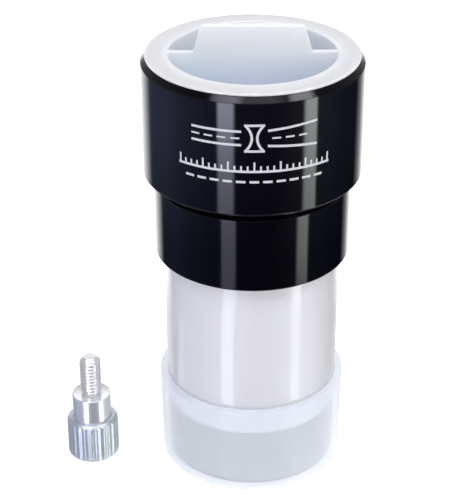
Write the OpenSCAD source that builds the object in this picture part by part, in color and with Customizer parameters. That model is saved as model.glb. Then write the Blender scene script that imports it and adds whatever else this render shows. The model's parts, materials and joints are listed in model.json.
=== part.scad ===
// Short 2x Barlow lens for 1.25 inch eyepieces, with its two dust caps and its loose clamping screw.
// The barrel axis is Z. The origin is on that axis, at the underside of the bottom cap.

/* [Barrel] */
// Diameter of the nosepiece that slides into the telescope
nose_d = 31.75; // [31.6:0.01:31.8]
// Diameter of the socket that takes the eyepiece
socket_d = 31.8; // [31.78:0.01:31.9]
// Outside diameter of the eyepiece holder, the wide upper body
holder_d = 38.8; // [38.4:0.1:40]
// Outside diameter of the body tube, the lower body
tube_d = 35; // [34.6:0.1:36]
// Visible length of the eyepiece holder
holder_h = 21.55; // [20:0.05:24]
// Visible length of the body tube
tube_h = 15.4; // [13:0.1:18]
// Length of the nosepiece between the body tube and the lens cell
nose_h = 31; // [28:0.1:34]
// Length of the lens cell below the nosepiece
cell_h = 11.1; // [10.5:0.1:13]

/* [Bottom cap] */
// Depth of the bottom cap over its floor
bottom_cap_h = 17.6; // [16.5:0.1:17.8]
// Thickness of the bottom cap's floor
bottom_cap_floor = 1.2; // [1:0.1:2.4]
// Outside diameter of the bottom cap at its floor
bottom_cap_d = 33.8; // [33.4:0.1:34.4]
// Outside diameter of the bottom cap at its rim
bottom_cap_rim_d = 34.4; // [34.0:0.1:35]

/* [Top cap] */
// Diameter of the top cap's flange
flange_d = 37.3; // [36:0.1:38]
// Thickness of the top cap's flange
flange_h = 0.5; // [0.4:0.05:1.2]
// Diameter of the finger recess in the top cap
recess_d = 29.2; // [27:0.1:29.6]
// Thickness of the web and its grip tab
web_t = 1.1; // [0.9:0.1:2.4]
// How far the middle of the web stands behind the barrel's axis
web_y = 0.4; // [-0.5:0.1:0.5]
// Width of the grip tab where it meets the flange's level
tab_base_w = 20.5; // [18:0.1:24]
// Width of the grip tab along its top edge
tab_top_w = 17.6; // [16:0.1:20]
// Height of the grip tab above the flange
tab_h = 4.9; // [3:0.1:6]

/* [Clamping screw] */
// Diameter of the fluted head
head_d = 9.7; // [9:0.1:11]
// Height of the fluted head
head_h = 8; // [6:0.1:9]
// Number of straight flutes on the head
flutes = 24; // [16:2:28]
// Diameter of the plain shoulder
shoulder_d = 7.3; // [6:0.1:8]
// Height of the shoulder above the head
shoulder_h = 5; // [3:0.1:6]
// Length of thread that stands out of the shoulder
stud_h = 8; // [6:0.1:10]
// Diameter of the metric thread
stud_d = 4; // [3.9:0.1:4]
// Where the loose screw stands beside the barrel, along X and Y
screw_x = -30.4; // [-45:0.1:-27]
screw_y = -2.9; // [-20:0.1:20]

/* [Optics] */
// Diameter of the two lenses
lens_d = 25; // [24.6:0.1:25.2]
// Clear diameter of the lenses' curved faces
lens_clear_d = 22.8; // [22:0.1:22.8]
// Radius of the crown lens's lower, hollow face
crown_r1 = 60; // [50:1:90]
// Radius of the crown lens's upper, hollow face
crown_r2 = 45; // [44:1:60]
// Radius of the flint lens's lower, bulging face
flint_r1 = 46; // [46:1:62]
// Radius of the flint lens's upper, hollow face
flint_r2 = 120; // [100:5:200]

/* [Hidden] */
$fn = 96;

// Clearances, on the radius
slip = 0.06;     // between pieces that slide or turn in each other
loose = 0.2;     // around a lens in its pocket

// Heights of the joins, stacked from the floor of the bottom cap
cell_z = bottom_cap_floor;
nose_z = cell_z + cell_h;
tube_z = nose_z + nose_h;
holder_z = tube_z + tube_h;
holder_top = holder_z + holder_h;
flange_top = holder_top + flange_h;

// Barrel walls
nose_r = nose_d / 2;
socket_r = socket_d / 2;
pilot_r = nose_r - 0.175;           // the cap and the lens cell ride on this slimmer lower end
pilot_top = bottom_cap_h + 0.6;
nose_bore_r = 13.9;
tube_thread_r = 15.2;               // nosepiece into body tube
tube_thread_h = 5.5;
holder_thread_r = 17.2;             // body tube into eyepiece holder
holder_thread_h = 7.3;
stop_z = tube_z + 6.6;              // the step that the eyepiece's barrel comes to rest on
stop_r = 14.3;
cell_thread_r = 14.2;               // lens cell into nosepiece, 28.5 mm by 0.6 mm
cell_thread_h = 4.5;
filter_thread_r = 13.95;            // the same standard thread inside the lens cell, for filters
filter_thread_h = 4;

// Clamping parts
ring_lip_z = holder_z + 12.3;       // roof of the compression ring's groove
ring_gap = 0.3;                     // above and below the ring
ring_slit = 2.4;
screw_hole_z = holder_z + 9.8;
screw_root_r = 1.65;                // core of the tapped hole
thread_pitch = 0.7;
stud_root_r = stud_d / 2 - 0.38;
stud_seat_h = 4;                    // length of the stud inside the knob
shoulder_z = head_h + shoulder_h;
stud_top = shoulder_z + stud_h;

// Optics, stacked from the seat in the lens cell
seat_r = 11.3;
seat_z = cell_z + 5.5;
crown_edge = 4.4;
spacer_h = 0.3;
flint_edge = 2.4;
retainer_h = 2;
lens_r = lens_d / 2;
clear_r = lens_clear_d / 2;
crown_z = seat_z;
spacer_z = crown_z + crown_edge;
flint_z = spacer_z + spacer_h;
retainer_z = flint_z + flint_edge;

BLACK = [0.05, 0.05, 0.07];
CHROME = [0.84, 0.84, 0.88];
MILKY = [0.85, 0.89, 0.95];
ALUMINIUM = [0.78, 0.78, 0.81];
STEEL = [0.7, 0.7, 0.73];
BRASS = [0.78, 0.62, 0.28];
CROWN_GLASS = [0.55, 0.75, 0.65];
FLINT_GLASS = [0.6, 0.68, 0.85];

// Depth of a spherical face of radius r over a circle of radius a
function sag(r, a) = r - sqrt(r * r - a * a);

// A solid of revolution about Z, from its half outline as [radius, height] points
module turned(outline) {
    rotate_extrude() polygon(outline);
}

// A plain ring about Z
module ring(outer, inner, z, h) {
    turned([[inner, z], [outer, z], [outer, z + h], [inner, z + h]]);
}

// A shallow dish that a hollow face of radius r removes, opening upwards at height z
module dish(r, z) {
    translate([0, 0, z + r - sag(r, clear_r)]) sphere(r = r, $fn = 200);
}

module bottom_cap() {
    bore = pilot_r + slip;
    edge = 0.6;
    lead = 0.3;
    color(MILKY) turned([
        [0, 0], [bottom_cap_d / 2 - edge, 0], [bottom_cap_d / 2, edge],
        [bottom_cap_rim_d / 2, bottom_cap_h - lead], [bottom_cap_rim_d / 2 - lead, bottom_cap_h],
        [bore + lead, bottom_cap_h], [bore, bottom_cap_h - lead],
        [bore, bottom_cap_floor], [0, bottom_cap_floor]
    ]);
}

module nosepiece() {
    step = 0.2;
    thread_top = nose_z + cell_thread_h + 0.2;
    color(CHROME) turned([
        [cell_thread_r + slip, nose_z], [pilot_r, nose_z], [pilot_r, pilot_top - step],
        [nose_r, pilot_top], [nose_r, tube_z],
        [tube_thread_r, tube_z], [tube_thread_r, tube_z + tube_thread_h],
        [nose_bore_r, tube_z + tube_thread_h], [nose_bore_r, thread_top],
        [cell_thread_r + slip, thread_top]
    ]);
}

module body_tube() {
    edge = 0.15;
    groove = 0.7;                   // depth of the V groove under the eyepiece holder
    groove_h = 1.8;
    color(BLACK) turned([
        [tube_thread_r + slip, tube_z], [tube_d / 2 - edge, tube_z], [tube_d / 2, tube_z + edge],
        [tube_d / 2, holder_z - groove_h], [tube_d / 2 - groove, holder_z - groove_h + groove],
        [tube_d / 2 - groove, holder_z - groove], [tube_d / 2, holder_z],
        [holder_thread_r - slip, holder_z],
        [holder_thread_r - slip, holder_z + holder_thread_h],
        [socket_r, holder_z + holder_thread_h], [socket_r, stop_z], [stop_r, stop_z],
        [stop_r, tube_z + tube_thread_h + 0.1], [tube_thread_r + slip, tube_z + tube_thread_h + 0.1]
    ]);
}

module eyepiece_holder() {
    top_bevel = 0.95;
    foot_bevel = 0.4;
    lead = 0.5;
    r = holder_d / 2;
    color(BLACK) difference() {
        turned([
            [holder_thread_r, holder_z], [r - foot_bevel, holder_z], [r, holder_z + foot_bevel],
            [r, holder_top - top_bevel], [r - top_bevel, holder_top],
            [socket_r + lead, holder_top], [socket_r, holder_top - lead],
            [socket_r, ring_lip_z], [holder_thread_r, ring_lip_z]
        ]);
        translate([0, r + 1, screw_hole_z]) rotate([90, 0, 0]) cylinder(r = screw_root_r, h = 6);
    }
}

module compression_ring() {
    inner = socket_r + 0.2;
    outer = holder_thread_r - 0.35;
    z = holder_z + holder_thread_h + ring_gap;
    color(BRASS) difference() {
        ring(outer, inner, z, ring_lip_z - ring_gap - z);
        translate([-ring_slit / 2, -outer - 1, z - 1]) cube([ring_slit, 4, 8]);
    }
}

module glare_stop() {
    ring_z = nose_z + nose_h / 2;
    aperture_r = 12;
    knife = 0.4;
    thick = 1.8;
    outer = nose_bore_r - 0.02;
    color(BLACK) turned([
        [aperture_r, ring_z], [aperture_r, ring_z + knife], [aperture_r + 2 * knife, ring_z + thick],
        [outer, ring_z + thick], [outer, ring_z]
    ]);
}

module lens_cell() {
    groove = 0.35;
    bore = lens_r + loose;
    grooves = [cell_z + 2.6, cell_z + 8.2];
    color(BLACK) difference() {
        turned([
            [filter_thread_r, cell_z], [pilot_r, cell_z], [pilot_r, nose_z],
            [cell_thread_r, nose_z], [cell_thread_r, nose_z + cell_thread_h],
            [bore, nose_z + cell_thread_h], [bore, seat_z], [seat_r, seat_z],
            [seat_r, cell_z + filter_thread_h], [filter_thread_r, cell_z + filter_thread_h]
        ]);
        for (z = grooves)
            turned([[pilot_r - groove, z], [pilot_r + 1, z - groove - 1], [pilot_r + 1, z + groove + 1]]);
    }
}

module crown_lens() {
    color(CROWN_GLASS) difference() {
        translate([0, 0, crown_z]) cylinder(r = lens_r, h = crown_edge);
        dish(crown_r2, crown_z + crown_edge);
        mirror([0, 0, 1]) dish(crown_r1, -crown_z);
    }
}

module lens_spacer() {
    color(BLACK) ring(lens_r, clear_r + 0.2, spacer_z, spacer_h);
}

module flint_lens() {
    bulge = sag(flint_r1, clear_r);
    color(FLINT_GLASS) difference() {
        union() {
            translate([0, 0, flint_z]) cylinder(r = lens_r, h = flint_edge);
            intersection() {
                translate([0, 0, flint_z - bulge + flint_r1]) sphere(r = flint_r1, $fn = 200);
                translate([0, 0, flint_z - 3]) cylinder(r = clear_r, h = 4);
            }
        }
        dish(flint_r2, flint_z + flint_edge);
    }
}

module lens_retainer() {
    outer = lens_r + loose - 0.02;
    slot_w = 1.4;
    slot_l = 3;
    slot_depth = 0.9;
    slot_z = retainer_z + retainer_h - slot_depth;
    color(BLACK) difference() {
        ring(outer, seat_r, retainer_z, retainer_h);
        for (side = [-1, 1])
            translate([side * (outer + seat_r) / 2 - slot_l / 2, -slot_w / 2, slot_z])
                cube([slot_l, slot_w, slot_depth + 1]);
    }
}

module top_cap() {
    wall_r = socket_r - slip;
    plug_z = ring_lip_z + 0.3;
    floor_h = 1.2;
    recess_r = recess_d / 2;
    lead = 0.4;
    web_w = recess_d + 0.6;
    round_z = flange_top + tab_h - web_t / 2;
    color(MILKY) union() {
        turned([
            [0, plug_z], [wall_r - lead, plug_z], [wall_r, plug_z + lead], [wall_r, holder_top],
            [flange_d / 2, holder_top], [flange_d / 2, flange_top], [recess_r, flange_top],
            [recess_r, plug_z + floor_h], [0, plug_z + floor_h]
        ]);
        translate([-web_w / 2, web_y - web_t / 2, plug_z + floor_h / 2])
            cube([web_w, web_t, flange_top - plug_z - floor_h / 2]);
        translate([0, web_y, 0]) intersection() {
            translate([0, web_t / 2, 0]) rotate([90, 0, 0]) linear_extrude(web_t) polygon([
                [-tab_base_w / 2, flange_top - 1], [tab_base_w / 2, flange_top - 1],
                [tab_base_w / 2, flange_top], [tab_top_w / 2, flange_top + tab_h],
                [-tab_top_w / 2, flange_top + tab_h], [-tab_base_w / 2, flange_top]
            ]);
            translate([-tab_base_w, 0, 0]) rotate([90, 0, 90]) linear_extrude(2 * tab_base_w) union() {
                translate([-web_t / 2, flange_top - 2]) square([web_t, round_z - flange_top + 2]);
                translate([0, round_z]) circle(r = web_t / 2, $fn = 48);
            }
        }
    }
}

module thumbscrew_knob() {
    head_r = head_d / 2;
    shoulder_r = shoulder_d / 2;
    top_edge = 0.6;
    edge = 0.25;
    flute_r = 0.45;
    flute_depth = 0.25;
    color(ALUMINIUM) translate([screw_x, screw_y, 0]) difference() {
        turned([
            [0, 0], [head_r - edge, 0], [head_r, edge], [head_r, head_h - top_edge],
            [head_r - top_edge, head_h], [shoulder_r, head_h], [shoulder_r, shoulder_z - edge / 2],
            [shoulder_r - edge / 2, shoulder_z], [stud_root_r, shoulder_z],
            [stud_root_r, shoulder_z - stud_seat_h], [0, shoulder_z - stud_seat_h]
        ]);
        for (i = [0 : flutes - 1])
            rotate([0, 0, (i + 0.5) * 360 / flutes]) translate([head_r + flute_r - flute_depth, 0, -1])
                cylinder(r = flute_r, h = head_h + 2, $fn = 24);
    }
}

module thumbscrew_stud() {
    crest_r = stud_d / 2;
    tip_edge = 0.8;
    tip_root_z = stud_top - (crest_r - stud_root_r) - tip_edge / 2;
    turns = floor((tip_root_z - shoulder_z - thread_pitch / 2) / thread_pitch);
    first = shoulder_z + thread_pitch / 2;
    crest_w = thread_pitch / 8;
    flank_w = (thread_pitch - 2 * crest_w) / 2;
    // one ridge of the thread for each pitch, drawn as closed rings
    ridges = [for (i = [0 : turns - 1], corner = [
        [stud_root_r, 0], [crest_r, flank_w], [crest_r, flank_w + crest_w],
        [stud_root_r, 2 * flank_w + crest_w]
    ]) [corner[0], first + i * thread_pitch + corner[1]]];
    color(STEEL) translate([screw_x, screw_y, 0]) turned(concat(
        [[0, shoulder_z - stud_seat_h], [stud_root_r, shoulder_z - stud_seat_h]],
        ridges,
        [[stud_root_r, stud_top - tip_edge / 2], [crest_r - tip_edge, stud_top], [0, stud_top]]
    ));
}

bottom_cap();
nosepiece();
body_tube();
eyepiece_holder();
compression_ring();
glare_stop();
lens_cell();
crown_lens();
lens_spacer();
flint_lens();
lens_retainer();
top_cap();
thumbscrew_knob();
thumbscrew_stud();
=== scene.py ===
import json
import math

import bmesh
import bpy
from mathutils import Matrix, Vector


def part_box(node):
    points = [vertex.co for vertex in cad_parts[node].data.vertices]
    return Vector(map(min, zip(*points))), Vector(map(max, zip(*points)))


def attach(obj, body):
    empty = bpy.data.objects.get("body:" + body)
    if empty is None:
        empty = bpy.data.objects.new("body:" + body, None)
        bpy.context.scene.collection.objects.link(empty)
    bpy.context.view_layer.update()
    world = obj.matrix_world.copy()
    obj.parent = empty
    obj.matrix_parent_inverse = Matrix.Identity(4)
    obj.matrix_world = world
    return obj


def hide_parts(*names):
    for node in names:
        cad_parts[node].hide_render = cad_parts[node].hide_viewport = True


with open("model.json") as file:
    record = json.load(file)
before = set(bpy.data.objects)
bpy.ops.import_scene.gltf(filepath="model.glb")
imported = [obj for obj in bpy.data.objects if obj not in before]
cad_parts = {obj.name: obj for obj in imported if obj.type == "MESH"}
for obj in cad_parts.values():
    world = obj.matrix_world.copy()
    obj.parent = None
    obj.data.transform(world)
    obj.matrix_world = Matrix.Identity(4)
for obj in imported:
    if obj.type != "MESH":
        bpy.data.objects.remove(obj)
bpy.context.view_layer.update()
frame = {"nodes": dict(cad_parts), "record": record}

MM = 0.001

# Camera: where it stands, in metres, and how it is turned, in degrees
CAMERA_PLACE = (-0.00488, -0.25716, 0.18197)
CAMERA_DOWN = 28.61
CAMERA_ROLL = -0.2
CAMERA_LENS_MM = 114.5

# Floor: its size, how far it lies below the object's base, and the light that it gives itself
FLOOR_SIZE = 40.0
FLOOR_DROP = 0.05 * MM
FLOOR_GLOW = 0.54

# Area light behind the object: where it stands and what it faces, in metres, and its power in watts
BACK_LIGHT_PLACE = (0.0, 0.32, 0.42)
BACK_LIGHT_AIM = (0.0, 0.0, 0.08)
BACK_LIGHT_SIZE = 0.3
BACK_LIGHT_POWER = 0.5

# The world's lower half, which the floor hides from all but gloss: places around, in degrees from
# the camera's side, -Y, towards +X, and depths, in degrees below the horizon
ROOM = [
    (-180, (0, 0, 0)), (-138, (0.30, 0.33, 0.45)), (-126, (0.21, 0.26, 0.40)),
    (-95, (0.46, 0.54, 0.92)), (-62, (0.42, 0.46, 0.80)), (-36, (0.28, 0.31, 0.52)),
    (-6, (0.19, 0.19, 0.29)), (22, (0.17, 0.16, 0.25)), (45, (0.35, 0.36, 0.44)),
    (76, (0.29, 0.36, 0.47)), (102, (0.11, 0.13, 0.20)), (126, (0.04, 0.045, 0.075)),
    (150, (0, 0, 0)), (180, (0, 0, 0))]
ROOM_DEPTHS = [(2, 0.9), (24, 1.0), (28.5, 0.28), (60, 0.30)]
BACK_WALL = [
    (-180, 1.8), (-150, 1.8), (-140, 1.2), (-131, 0.0),
    (131, 0.0), (143, 0.7), (153, 1.5), (180, 1.7)]
BACK_WALL_DEPTHS = [(28.8, 1.0), (30.5, 0.45), (37, 0.45)]
SIDE_GLOW = [(38, 0.0), (72, 1.0), (118, 1.0), (150, 0.4), (180, 0.2)]
SIDE_GLOW_DEPTHS = [(30.3, 0.0), (31.2, 0.1), (34.2, 0.3), (35, 0.9), (60, 0.9)]
TABLE_DEPTHS = [(38, 0.0), (43, 0.6)]

# Tall light boxes in that lower half: where their two edges are and half how wide each fades, how
# many degrees further left the lowest part stands, their colour, and their strength at each depth
LIGHT_BOXES = [
    dict(left=-36.7, right=-19.9, soft_left=0.8, soft_right=0.8, lean=5.0, tint=(1.0, 1.02, 1.28),
         strengths=[
             (5, 8.0), (23.3, 10.5), (25, 6.0), (26.5, 3.8), (28.2, 2.35), (30, 1.9), (60, 1.8)]),
    dict(left=53.5, right=67.8, soft_left=1.8, soft_right=0.8, lean=0.0, tint=(1.0, 1.05, 1.02),
         strengths=[
             (5, 10.0), (23.6, 10.5), (25, 8.2), (26.5, 5.8), (28.5, 4.6), (31, 0.9), (33.5, 1.1),
             (35, 3.4)]),
]
LEAN_DEPTHS = [(30.0, 0.0), (31.2, 1.0)]

# The world's upper half: its grey from the horizon up, and round soft lamps in it, each with its
# direction, the cosines at its outer edge and at its core, and its colour
CEILING = [(0.0, 0.60), (0.3, 0.42), (1.0, 0.12)]
LAMPS = [
    ((0.0, -0.46, 0.888), 0.90, 0.96, (2.0, 1.92, 2.15)),
    ((-0.341, -0.40, 0.85), 0.972, 0.99, (5.2, 5.2, 6.0)),
    ((0.571, -0.241, 0.783), 0.978, 0.992, (8.8, 8.9, 8.9)),
]

# Milky plastic: how solid the bottom cap's thin wall looks face on, and how deep light goes into
# the top cap
THIN_ALPHA = 0.41
PLASTIC_DEPTH = 1.5 * MM

# Steps round a turned piece
SEGMENTS = 144

# From the crest of the stud's thread to its root, which is also the wall of the knob's hole
THREAD_DEPTH = 0.38 * MM


# ---------------------------------------------------------------- node helpers

class Shader:
    """A short way to write one node tree."""

    def __init__(self, tree):
        self.tree = tree
        tree.nodes.clear()

    def add(self, kind, **settings):
        made = self.tree.nodes.new("ShaderNode" + kind)
        for key, value in settings.items():
            setattr(made, key, value)
        return made

    def put(self, value, socket):
        """Links an output to a socket, or sets the socket to a plain value."""
        if isinstance(value, bpy.types.NodeSocket):
            self.tree.links.new(value, socket)
            return
        if socket.type == "RGBA" and len(value) == 3:
            value = (*value, 1.0)
        socket.default_value = value

    def math(self, operation, a, b=0.0, c=0.0, clamp=False):
        made = self.add("Math", operation=operation, use_clamp=clamp)
        for value, socket in zip((a, b, c), made.inputs):
            self.put(value, socket)
        return made.outputs[0]

    def ramp(self, value, stops):
        """Maps a value through stops of (place, grey or colour), given in rising order."""
        made = self.add("ValToRGB")
        elements = made.color_ramp.elements
        while len(elements) < len(stops):
            elements.new(0.5)
        for element, (place, tone) in zip(elements, stops):
            element.position = place
        for element, (place, tone) in zip(elements, stops):
            element.color = (*tone, 1) if isinstance(tone, tuple) else (tone, tone, tone, 1)
        self.put(value, made.inputs[0])
        return made.outputs[0]

    def colour(self, operation, a, b, share=1.0):
        """Two colours put together by a blend type, with a share of the second."""
        made = self.add("Mix", data_type="RGBA", blend_type=operation)
        for value, socket in ((share, made.inputs[0]), (a, made.inputs[6]), (b, made.inputs[7])):
            self.put(value, socket)
        return made.outputs[2]

    def grey(self, value):
        made = self.add("CombineColor")
        for socket in made.inputs[:3]:
            self.put(value, socket)
        return made.outputs[0]

    def coordinate(self, kind):
        return self.add("TexCoord").outputs[kind]

    def axes(self, vector):
        made = self.add("SeparateXYZ")
        self.put(vector, made.inputs[0])
        return made.outputs

    def height(self, start, span):
        """The height in metres as a value from 0 at start to 1 a span above it."""
        z = self.axes(self.coordinate("Object"))[2]
        return self.math("MULTIPLY_ADD", z, 1 / span, -start / span, clamp=True)

    def edge(self, radius):
        """A normal that rounds sharp edges by a radius in metres."""
        made = self.add("Bevel", samples=4)
        made.inputs["Radius"].default_value = radius
        return made.outputs[0]

    def noise(self, per_metre, detail, roughness=0.5, stretch=(1, 1, 1)):
        mapped = self.add("Mapping")
        mapped.inputs["Scale"].default_value = stretch
        self.put(self.coordinate("Object"), mapped.inputs["Vector"])
        made = self.add("TexNoise")
        for name, value in (("Scale", per_metre), ("Detail", detail), ("Roughness", roughness)):
            made.inputs[name].default_value = value
        self.put(mapped.outputs[0], made.inputs["Vector"])
        return made.outputs[0]

    def turned_marks(self, per_metre):
        """Fine rings of varying height that a lathe leaves."""
        return self.noise(per_metre, detail=2.0, roughness=0.6, stretch=(0.02, 0.02, 1.0))

    def spread(self, value, low, high):
        """Maps 0..1 to low..high."""
        return self.math("MULTIPLY_ADD", value, high - low, low)

    def bump(self, height, distance, strength, normal=None):
        made = self.add("Bump")
        made.inputs["Strength"].default_value = strength
        made.inputs["Distance"].default_value = distance
        self.put(height, made.inputs["Height"])
        if normal is not None:
            self.put(normal, made.inputs["Normal"])
        return made.outputs[0]

    def principled(self, **values):
        """The surface, with inputs named by their labels, spaces as underscores."""
        made = self.add("BsdfPrincipled")
        for key, value in values.items():
            self.put(value, made.inputs[key.replace("_", " ")])
        out = self.add("OutputMaterial")
        self.put(made.outputs[0], out.inputs[0])


def new_material(name):
    material = bpy.data.materials.new(name)
    material.use_nodes = True
    return material, Shader(material.node_tree)


# ---------------------------------------------------------------- mesh helpers

def add_object(name, data):
    made = bpy.data.objects.new(name, data)
    bpy.context.scene.collection.objects.link(made)
    return made


def add_mesh(name, vertices, faces, material, smooth_angle=35):
    """A smooth-shaded object from vertices in metres, with its faces turned outwards."""
    mesh = bpy.data.meshes.new(name)
    mesh.from_pydata(vertices, [], faces)
    work = bmesh.new()
    work.from_mesh(mesh)
    bmesh.ops.recalc_face_normals(work, faces=work.faces)
    work.to_mesh(mesh)
    work.free()
    mesh.shade_smooth()
    mesh.set_sharp_from_angle(angle=math.radians(smooth_angle))
    mesh.materials.append(material)
    return add_object(name, mesh)


def fillet(outline, radii, steps=5):
    """Rounds the corners of an open (radius, height) outline, each by its own radius."""
    rounded = [outline[0]]
    for before, corner, after, radius in zip(outline, outline[1:], outline[2:], radii):
        if not radius:
            rounded.append(corner)
            continue
        here = Vector(corner)
        back = (Vector(before) - here).normalized()
        ahead = (Vector(after) - here).normalized()
        half = back.angle(ahead) / 2
        reach = radius / math.tan(half)
        middle = here + (back + ahead).normalized() * radius / math.sin(half)
        start, end = here + back * reach - middle, here + ahead * reach - middle
        for step in range(steps + 1):
            part = step / steps
            spoke = start * (1 - part) + end * part
            rounded.append(tuple(middle + spoke.normalized() * radius))
    rounded.append(outline[-1])
    return rounded


def lathe(name, outline, material, centre, segments=SEGMENTS, radius_at=None):
    """Turns an outline of (radius, height), which starts and ends on its axis, about that axis.

    radius_at(radius, height, angle) may change the radius, as flutes and threads do.
    """
    rings, vertices = [], []
    for radius, height in outline:
        if radius == 0:
            rings.append([len(vertices)])
            vertices.append((centre[0], centre[1], height))
            continue
        ring = []
        for step in range(segments):
            angle = 2 * math.pi * step / segments
            r = radius_at(radius, height, angle) if radius_at else radius
            ring.append(len(vertices))
            vertices.append(
                (centre[0] + r * math.cos(angle), centre[1] + r * math.sin(angle), height))
        rings.append(ring)
    faces = []
    for low, high in zip(rings, rings[1:]):
        for step in range(segments):
            after = (step + 1) % segments
            if len(low) == 1:
                faces.append((low[0], high[after], high[step]))
            elif len(high) == 1:
                faces.append((low[step], low[after], high[0]))
            else:
                faces.append((low[step], low[after], high[after], high[step]))
    return add_mesh(name, vertices, faces, material)


def softened(node, name, material, edge):
    """A copy of a CAD node's mesh with its sharp edges rounded."""
    copy = node.copy()
    mesh = copy.data = node.data.copy()
    copy.name = mesh.name = name
    copy.parent = None
    copy.matrix_world = Matrix.Identity(4)
    bpy.context.scene.collection.objects.link(copy)
    # The CAD's triangles are joined into flat faces, and its normals dropped, before the bevel
    work = bmesh.new()
    work.from_mesh(mesh)
    bmesh.ops.remove_doubles(work, verts=work.verts, dist=1e-7)
    bmesh.ops.dissolve_limit(
        work, angle_limit=math.radians(0.5), verts=work.verts, edges=work.edges)
    for layer in list(work.loops.layers.float_vector):
        work.loops.layers.float_vector.remove(layer)
    work.to_mesh(mesh)
    work.free()
    if mesh.has_custom_normals:
        mesh.normals_split_custom_set_from_vertices([(0, 0, 0)] * len(mesh.vertices))
    sharp_angle = math.radians(30)
    mesh.shade_smooth()
    mesh.set_sharp_from_angle(angle=sharp_angle)
    bevel = copy.modifiers.new("edges", "BEVEL")
    bevel.width = edge
    bevel.segments = 3
    bevel.limit_method = "ANGLE"
    bevel.angle_limit = sharp_angle
    bevel.harden_normals = True
    bpy.context.view_layer.objects.active = copy
    for other in bpy.context.selected_objects:
        other.select_set(False)
    copy.select_set(True)
    bpy.ops.object.modifier_apply(modifier=bevel.name)
    copy.material_slots[0].material = material
    return copy


# ---------------------------------------------------------------- materials

def black_anodised():
    material, s = new_material("black_anodised")
    s.principled(
        Base_Color=(0.0008, 0.0008, 0.0022),
        Roughness=s.spread(s.noise(160, detail=4.0), 0.05, 0.10), Specular_IOR_Level=0.25,
        Normal=s.bump(s.turned_marks(9000), 0.002 * MM, 0.15, s.edge(0.25 * MM)))
    return material


def matt_black():
    material, s = new_material("matt_black")
    cloud = s.noise(900, detail=4.0)
    s.principled(
        Base_Color=s.ramp(cloud, [(0.3, (0.008, 0.008, 0.009)), (0.7, (0.016, 0.016, 0.018))]),
        Roughness=s.spread(cloud, 0.6, 0.8), Normal=s.bump(cloud, 0.02 * MM, 0.3))
    return material


def chrome():
    material, s = new_material("satin_chrome")
    marks = s.turned_marks(7000)
    cloud = s.noise(120, detail=4.0)
    s.principled(
        Base_Color=s.ramp(cloud, [(0.3, (0.705, 0.705, 0.73)), (0.7, (0.725, 0.725, 0.75))]),
        Metallic=0.15, Roughness=s.spread(marks, 0.5, 0.6),
        Coat_Weight=1.0, Coat_Roughness=0.05, Coat_IOR=1.7,
        Normal=s.bump(marks, 0.002 * MM, 0.2))
    return material


def milky_plastic():
    """Soft plastic that light goes into, with painted shade that makes it darker and bluer down in
    the cap's recess.
    """
    material, s = new_material("milky_plastic")
    cloud = s.noise(220, detail=3.0)
    # Painted shade: the base colour darkens and turns bluer from the flange down to the floor of
    # the cap's recess, where shade falls.
    tone = s.ramp(s.height(72 * MM, 10 * MM), [
        (0.0, (0.56, 0.61, 0.68)), (0.35, (0.64, 0.695, 0.76)),
        (0.85, (0.885, 0.925, 0.95)), (1.0, (0.90, 0.94, 0.96))])
    s.principled(
        Base_Color=s.colour("MIX", tone, (0.90, 0.92, 0.95), s.spread(cloud, 0.0, 0.25)),
        Roughness=s.spread(cloud, 0.32, 0.42),
        Subsurface_Weight=1.0, Subsurface_Radius=(1.0, 1.0, 1.0), Subsurface_Scale=PLASTIC_DEPTH,
        Normal=s.bump(s.noise(1500, detail=2.0), 0.01 * MM, 0.2))
    return material


def thin_milky_plastic():
    """The same plastic in a wall thin enough for what stands behind it to show, with a faint
    painted glow.
    """
    material, s = new_material("thin_milky_plastic")
    cloud = s.noise(220, detail=3.0)
    edge_on = s.math("POWER", s.add("LayerWeight").outputs["Facing"], 4.0)
    s.principled(
        Base_Color=s.ramp(cloud, [(0.3, (0.83, 0.875, 0.945)), (0.7, (0.855, 0.895, 0.96))]),
        Roughness=s.spread(cloud, 0.28, 0.38),
        Alpha=s.math("MULTIPLY_ADD", edge_on, 1.0 - THIN_ALPHA, THIN_ALPHA, clamp=True),
        # Painted light: a faint blue-white glow, though the wall is no lamp, stands in for light
        # scattered through it.
        Emission_Color=(0.88, 0.93, 1.0), Emission_Strength=0.08,
        Normal=s.bump(s.noise(1500, detail=2.0), 0.01 * MM, 0.2))
    return material


def brass():
    material, s = new_material("turned_brass")
    marks = s.turned_marks(6000)
    s.principled(
        Base_Color=s.ramp(marks, [(0.3, (0.68, 0.46, 0.16)), (0.7, (0.76, 0.55, 0.22))]),
        Metallic=1.0, Roughness=s.spread(marks, 0.2, 0.35),
        Normal=s.bump(marks, 0.004 * MM, 0.3))
    return material


def aluminium():
    """Bright turned metal on the shoulder, duller on the fluted head below it."""
    material, s = new_material("bright_aluminium")
    marks = s.turned_marks(9000)
    shoulder = s.height(8.1 * MM, 0.25 * MM)
    dull = s.math("SUBTRACT", 1.0, shoulder)
    head_tone = s.ramp(marks, [(0.3, (0.49, 0.53, 0.57)), (0.7, (0.60, 0.64, 0.675))])
    s.principled(
        Base_Color=s.colour("MIX", head_tone, (0.86, 0.88, 0.90), shoulder), Metallic=0.75,
        Roughness=s.math("MULTIPLY_ADD", dull, 0.18, s.spread(marks, 0.2, 0.28)),
        Normal=s.bump(marks, 0.003 * MM, 0.3, s.edge(0.08 * MM)))
    return material


def steel():
    material, s = new_material("cut_steel")
    cloud = s.noise(2500, detail=3.0)
    s.principled(
        Base_Color=s.ramp(cloud, [(0.3, (0.80, 0.80, 0.82)), (0.7, (0.86, 0.86, 0.88))]),
        Metallic=0.7, Roughness=s.spread(cloud, 0.24, 0.34))
    return material


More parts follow.
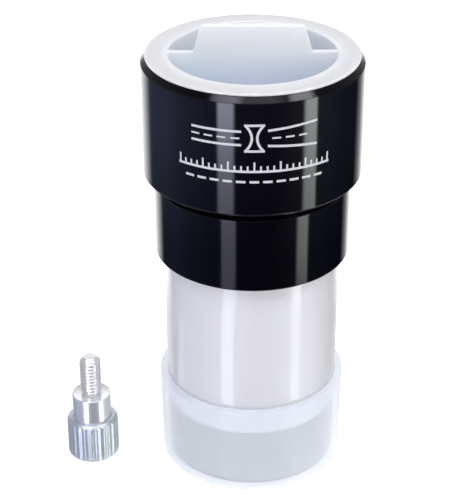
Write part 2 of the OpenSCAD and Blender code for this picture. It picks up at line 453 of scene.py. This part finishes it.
def coated_glass():
    material, s = new_material("coated_glass")
    facing = s.add("LayerWeight").outputs["Facing"]
    s.principled(
        Base_Color=s.ramp(facing, [(0.0, (0.96, 1.0, 0.97)), (1.0, (0.9, 0.94, 1.0))]),
        Roughness=0.0, IOR=1.52, Transmission_Weight=1.0,
        Thin_Film_Thickness=320.0, Thin_Film_IOR=1.38)
    return material


def white_ink():
    material, s = new_material("white_ink")
    cloud = s.noise(3000, detail=2.0)
    s.principled(
        Base_Color=s.ramp(cloud, [(0.3, (0.52, 0.53, 0.55)), (0.7, (0.60, 0.61, 0.63))]),
        Roughness=0.4, Normal=s.bump(cloud, 0.005 * MM, 0.3))
    return material


# ---------------------------------------------------------------- studio

def add_world():
    """A pale room above the horizon, and below it, for gloss only, light boxes in the dark."""
    world = bpy.data.worlds.new("studio")
    bpy.context.scene.world = world
    world.use_nodes = True
    s = Shader(world.node_tree)
    x, y, z = s.axes(s.coordinate("Generated"))
    azimuth = s.math("ARCTAN2", x, s.math("MULTIPLY", y, -1.0))
    turn = s.math("MULTIPLY_ADD", azimuth, 1 / (2 * math.pi), 0.5)
    depth = s.math("MULTIPLY", z, -1.0)

    def around(stops, place=turn):
        return s.ramp(place, [(degrees / 360 + 0.5, value) for degrees, value in stops])

    def below(stops):
        return s.ramp(depth, [(math.sin(math.radians(degrees)), value) for degrees, value in stops])

    def light_box(left, right, soft_left, soft_right, lean, tint, strengths):
        leaning = s.math("MULTIPLY_ADD", below(LEAN_DEPTHS), lean / 360, turn)
        across = around([
            (left - soft_left, 0.0), (left + soft_left, 1.0),
            (right - soft_right, 1.0), (right + soft_right, 0.0)], leaning)
        peak = max(strength for degrees, strength in strengths)
        tall = below([(degrees, strength / peak) for degrees, strength in strengths])
        strength = s.math("MULTIPLY", s.math("MULTIPLY", across, tall), peak)
        return s.colour("MULTIPLY", s.grey(strength), tint)

    def lamp(direction, soft, core, tint):
        aim = s.add("VectorMath", operation="DOT_PRODUCT")
        s.put(s.coordinate("Generated"), aim.inputs[0])
        aim.inputs[1].default_value = Vector(direction).normalized()
        return s.colour("MULTIPLY", s.ramp(aim.outputs["Value"], [(soft, 0.0), (core, 1.0)]), tint)

    low = s.colour("MULTIPLY", around(ROOM), below(ROOM_DEPTHS))
    for glow in (
            s.colour("MULTIPLY", around(BACK_WALL), below(BACK_WALL_DEPTHS)),
            s.colour("MULTIPLY", around(SIDE_GLOW), below(SIDE_GLOW_DEPTHS)),
            below(TABLE_DEPTHS), *(light_box(**facts) for facts in LIGHT_BOXES)):
        low = s.colour("ADD", low, glow)
    ceiling = s.ramp(z, CEILING)
    for facts in LAMPS:
        ceiling = s.colour("ADD", ceiling, lamp(*facts))
    above = s.math("MULTIPLY_ADD", z, 12.0, 0.8, clamp=True)
    light = s.add("Background")
    s.put(s.colour("MIX", low, ceiling, above), light.inputs[0])
    out = s.add("OutputWorld")
    s.put(light.outputs[0], out.inputs[0])


def add_back_light():
    data = bpy.data.lights.new("back_light", "AREA")
    data.shape = "SQUARE"
    data.size = BACK_LIGHT_SIZE
    data.energy = BACK_LIGHT_POWER
    lamp = add_object("back_light", data)
    lamp.location = BACK_LIGHT_PLACE
    towards = Vector(BACK_LIGHT_AIM) - Vector(BACK_LIGHT_PLACE)
    lamp.rotation_euler = towards.to_track_quat("-Z", "Y").to_euler()
    lamp.visible_camera = False


def add_floor():
    half = FLOOR_SIZE / 2
    mesh = bpy.data.meshes.new("floor")
    corners = [(-half, -half, 0), (half, -half, 0), (half, half, 0), (-half, half, 0)]
    mesh.from_pydata(corners, [], [(0, 1, 2, 3)])
    floor = add_object("floor", mesh)
    floor.location.z = -FLOOR_DROP
    floor.visible_glossy = False
    material, s = new_material("pale_floor")
    s.principled(
        Base_Color=(0.92, 0.92, 0.92), Roughness=0.9, Specular_IOR_Level=0.0,
        Emission_Color=(1.0, 1.0, 1.0), Emission_Strength=FLOOR_GLOW)
    mesh.materials.append(material)


def add_camera():
    data = bpy.data.cameras.new("camera")
    data.lens = CAMERA_LENS_MM
    camera = add_object("camera", data)
    camera.matrix_world = (
        Matrix.Translation(CAMERA_PLACE)
        @ Matrix.Rotation(math.radians(90 - CAMERA_DOWN), 4, "X")
        @ Matrix.Rotation(math.radians(CAMERA_ROLL), 4, "Z"))
    bpy.context.scene.camera = camera


# ---------------------------------------------------------------- pieces

def turned_size(node):
    """The axis, outer radius, lowest and highest point of a turned CAD node."""
    low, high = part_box(node)
    return ((low.x + high.x) / 2, (low.y + high.y) / 2), (high.x - low.x) / 2, low.z, high.z


def build_bottom_cap(material):
    """A tapered cup that the barrel stands in, with every edge rounded."""
    centre, rim_r, low, high = turned_size("bottom_cap")
    cell_r, floor_top = turned_size("lens_cell")[1:3]
    taper = 0.3 * MM
    bore = cell_r + 0.06 * MM
    outline = fillet(
        [(0, low), (rim_r - taper, low), (rim_r, high), (bore, high), (bore, floor_top),
         (0, floor_top)],
        [0.75 * MM, 0.35 * MM, 0.3 * MM, 0.4 * MM])
    cap = lathe("bottom_dust_cap", outline, material, centre)
    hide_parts("bottom_cap")
    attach(cap, "bottom_cap")


def build_top_cap(material):
    cap = softened(frame["nodes"]["top_cap"], "top_dust_cap", material, 0.22 * MM)
    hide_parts("top_cap")
    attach(cap, "top_cap")


def build_knob(material):
    """A fluted head with a chamfered top edge, and a plain shoulder with a hole for the stud."""
    centre, head_r, low, shoulder_z = turned_size("thumbscrew_knob")
    crest_r, seat_z = turned_size("thumbscrew_stud")[1:3]
    head_top = low + 8.0 * MM
    shoulder_r = 3.65 * MM
    hole_r = crest_r - THREAD_DEPTH
    foot, chamfer = 0.25 * MM, 0.6 * MM
    flutes, flute_depth, steps_per_flute = 24, 0.16 * MM, 12
    rows = 6
    side_low, side_high = low + foot, head_top - chamfer
    outline = [(0, low), (head_r - 2 * foot, low), (head_r - foot, low), (head_r, side_low)]
    outline += [
        (head_r, side_low + (side_high - side_low) * row / rows) for row in range(1, rows + 1)]
    outline += [
        (head_r - chamfer * row / rows, side_high + chamfer * row / rows)
        for row in range(1, rows + 1)]
    outline += fillet(
        [(head_r - chamfer - 0.1 * MM, head_top), (shoulder_r, head_top),
         (shoulder_r, shoulder_z), (hole_r, shoulder_z), (hole_r, seat_z), (0, seat_z)],
        [0.12 * MM, 0.2 * MM, 0, 0])

    def fluted(radius, height, angle):
        if radius < head_r - chamfer:
            return radius
        wave = 0.5 - 0.5 * math.cos(flutes * angle)
        return min(radius, head_r - flute_depth * wave)

    knob = lathe(
        "clamping_knob", outline, material, centre,
        segments=flutes * steps_per_flute, radius_at=fluted)
    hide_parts("thumbscrew_knob")
    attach(knob, "thumbscrew")


def build_stud(material):
    """A stud with a real helical thread, which fades in above the knob, and a pointed tip."""
    centre, crest_r, seat_z, tip_z = turned_size("thumbscrew_stud")
    shoulder_z = turned_size("thumbscrew_knob")[3]
    pitch = 0.7 * MM
    rows_per_turn, segments = 20, 96
    flat = 0.12                                      # of half a pitch, on the crest and in the root
    runout = 0.5 * pitch
    tip_r = crest_r - 0.8 * MM
    root_r = crest_r - THREAD_DEPTH
    start = shoulder_z - 0.2 * MM
    rows = round((tip_z - start) / (pitch / rows_per_turn))
    outline = [(0, seat_z), (root_r, seat_z)]
    outline += [(crest_r, start + (tip_z - start) * row / rows) for row in range(rows + 1)]
    outline.append((0, tip_z))

    def threaded(radius, height, angle):
        if radius < crest_r:
            return radius
        phase = ((height - start) / pitch - angle / (2 * math.pi)) % 1.0
        from_crest = abs(phase - 0.5) * 2            # 0 on the crest, 1 in the root
        rise = min(max((1.0 - from_crest - flat) / (1.0 - 2 * flat), 0.0), 1.0)
        fade = min(max((height - start - runout) / pitch, 0.0), 1.0)
        cone = max(tip_r + (tip_z - height), tip_r)
        return min(root_r + THREAD_DEPTH * rise * fade, cone)

    stud = lathe("clamping_stud", outline, material, centre, segments, threaded)
    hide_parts("thumbscrew_stud")
    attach(stud, "thumbscrew")


class Print:
    """Raised ink on the front of a cylinder, drawn as ribbons in (arc, height) from its middle."""

    HALF_THICK = 0.02 * MM
    STEP = 0.35 * MM

    def __init__(self, radius, height):
        self.radius, self.height = radius, height
        self.vertices, self.faces = [], []

    def corner(self, arc, up, lift):
        angle = arc / self.radius
        r = self.radius + lift
        return (r * math.sin(angle), -r * math.cos(angle), self.height + up)

    def ribbon(self, points, width):
        """A line through points, with mitred corners, as a thin closed solid."""
        fine = [Vector(points[0])]
        for a, b in zip(points, points[1:]):
            a, b = Vector(a), Vector(b)
            count = max(1, math.ceil((b - a).length / self.STEP))
            fine += [a.lerp(b, step / count) for step in range(1, count + 1)]
        first = len(self.vertices)
        last = len(fine) - 1
        for index, here in enumerate(fine):
            ahead = fine[min(index + 1, last)] - here
            back = here - fine[max(index - 1, 0)]
            ahead = ahead.normalized() if ahead.length else back.normalized()
            back = back.normalized() if back.length else ahead
            along = (ahead + back).normalized()
            across = Vector((-along.y, along.x)) * width / 2 / max(along.dot(ahead), 0.5)
            for side, lift in ((1, 1), (-1, 1), (-1, -1), (1, -1)):
                spot = here + across * side
                self.vertices.append(self.corner(spot.x, spot.y, lift * self.HALF_THICK))
        for index in range(last):
            a = first + 4 * index
            for side in range(4):
                after = (side + 1) % 4
                self.faces.append((a + side, a + after, a + 4 + after, a + 4 + side))
        self.faces.append(tuple(first + side for side in (3, 2, 1, 0)))
        self.faces.append(tuple(first + 4 * last + side for side in range(4)))


def build_print(material):
    """A ray diagram of a hollow lens over two rules, in white ink on the holder's front."""
    holder_r, low = turned_size("eyepiece_holder")[1:3]
    ink = Print(holder_r, low + 14.5 * MM)
    bold, fine, tick_width = 0.42 * MM, 0.30 * MM, 0.32 * MM

    # The lens: two curved sides and its flat top and bottom
    lens_half, rim, waist = 2.3 * MM, 1.5 * MM, 0.45 * MM
    side = [
        (waist + (rim - waist) * (step / 8) ** 2, lens_half * step / 8) for step in range(-8, 9)]
    ink.ribbon(side, bold)
    ink.ribbon([(-x, up) for x, up in side], bold)
    for up in (-lens_half, lens_half):
        ink.ribbon([(-rim - bold / 2, up), (rim + bold / 2, up)], bold)

    # Its rays, which spread to the right, and the dashed axis between them
    reach, lens_gap, ray_up = 10.9 * MM, 2.2 * MM, 1.2 * MM
    for up in (-ray_up, ray_up):
        ink.ribbon([(-reach, up), (-lens_gap, up)], bold)
        ink.ribbon([(lens_gap, up * 1.12), (reach, up * 1.75)], bold)
    dash, gap = 1.5 * MM, 0.8 * MM
    spot = -reach
    while spot + dash <= reach + 0.01 * MM:
        if abs(spot + dash / 2) > 1.6 * MM:
            ink.ribbon([(spot, 0), (spot + dash, 0)], fine)
        spot += dash + gap

    # A ruler line with ticks, and a dashed rule under it
    ruler_up, ruler_half, tick_step = -6.0 * MM, 13.5 * MM, 1.1 * MM
    ink.ribbon([(-ruler_half, ruler_up), (ruler_half, ruler_up)], bold)
    for tick in range(-12, 13):
        x, tall = tick * tick_step, (1.7 if tick % 4 == 0 else 1.0) * MM
        ink.ribbon([(x, ruler_up + bold / 2), (x, ruler_up + tall)], tick_width)
    rule_up, dash_step, dash_half = -7.9 * MM, 2.26 * MM, 0.8 * MM
    for index in range(-5, 6):
        middle = index * dash_step
        ink.ribbon([(middle - dash_half, rule_up), (middle + dash_half, rule_up)], bold)

    decal = add_mesh("front_print", ink.vertices, ink.faces, material)
    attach(decal, "barrel")


# ---------------------------------------------------------------- scene

bpy.context.scene.view_settings.view_transform = "Standard"
add_camera()
add_world()
add_floor()
add_back_light()

finishes = {
    "black_anodised": black_anodised(), "matt_black": matt_black(), "chrome": chrome(),
    "milky_plastic": milky_plastic(), "brass": brass(), "bare_aluminium": aluminium(),
    "bare_steel": steel(), "coated_glass": coated_glass(),
}
for row in frame["record"]["subparts"]:
    node = frame["nodes"][row["node"]]
    node.material_slots[0].material = finishes[row["material_slot"]]

build_bottom_cap(thin_milky_plastic())
build_top_cap(finishes["milky_plastic"])
build_knob(finishes["bare_aluminium"])
build_stud(finishes["bare_steel"])
build_print(white_ink())
